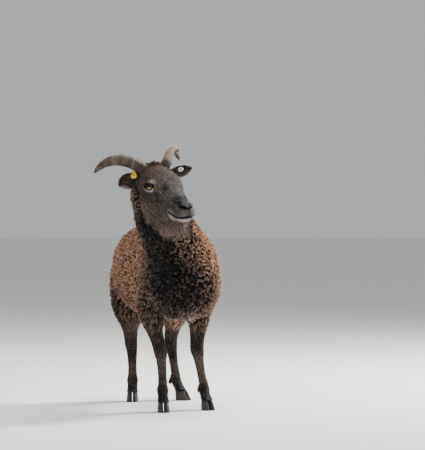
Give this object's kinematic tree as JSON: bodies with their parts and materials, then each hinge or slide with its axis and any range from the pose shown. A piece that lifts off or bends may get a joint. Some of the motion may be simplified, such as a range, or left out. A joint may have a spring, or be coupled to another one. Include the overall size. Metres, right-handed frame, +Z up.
{
  "type": "soay sheep model",
  "caption": "Life-size still model of a horned brown Soay sheep standing with its head turned, curly fleece, ringed horns and plain ear tags.",
  "frame": {"origin": "on the ground, under the middle of the animal's bounding box", "axes": "+Z up, -Y ahead where the chest points, +X to the animal's own left"},
  "size_m": [0.4526, 0.7926, 0.8321],
  "materials": {
    "fleece": "dense curled wool, dark brown with reddish tips",
    "hide": "short flat hair, near black brown, greyer on the face",
    "horn": "ringed grey brown horn, dull",
    "hoof": "dark horn, worn and dull",
    "eye": "wet, olive yellow with a dark level pupil",
    "tag_white": "plain white button tag, bare",
    "tag_yellow": "plain yellow button tag, bare"
  },
  "bodies": {
    "root": {"torso": "fleece", "neck": "fleece", "tail": "fleece", "head": "hide", "leg_front_right": "hide", "leg_front_left": "hide", "leg_hind_right": "hide", "leg_hind_left": "hide", "hoof_front_right_inner": "hoof", "hoof_front_right_outer": "hoof", "hoof_front_left_inner": "hoof", "hoof_front_left_outer": "hoof", "hoof_hind_right_inner": "hoof", "hoof_hind_right_outer": "hoof", "hoof_hind_left_inner": "hoof", "hoof_hind_left_outer": "hoof", "ear_left": "hide", "ear_right": "hide", "eye_left": "eye", "eye_right": "eye", "horn_left": "horn", "horn_right": "horn", "tag_left": "tag_white", "tag_right": "tag_yellow"}
  },
  "joints": []
}
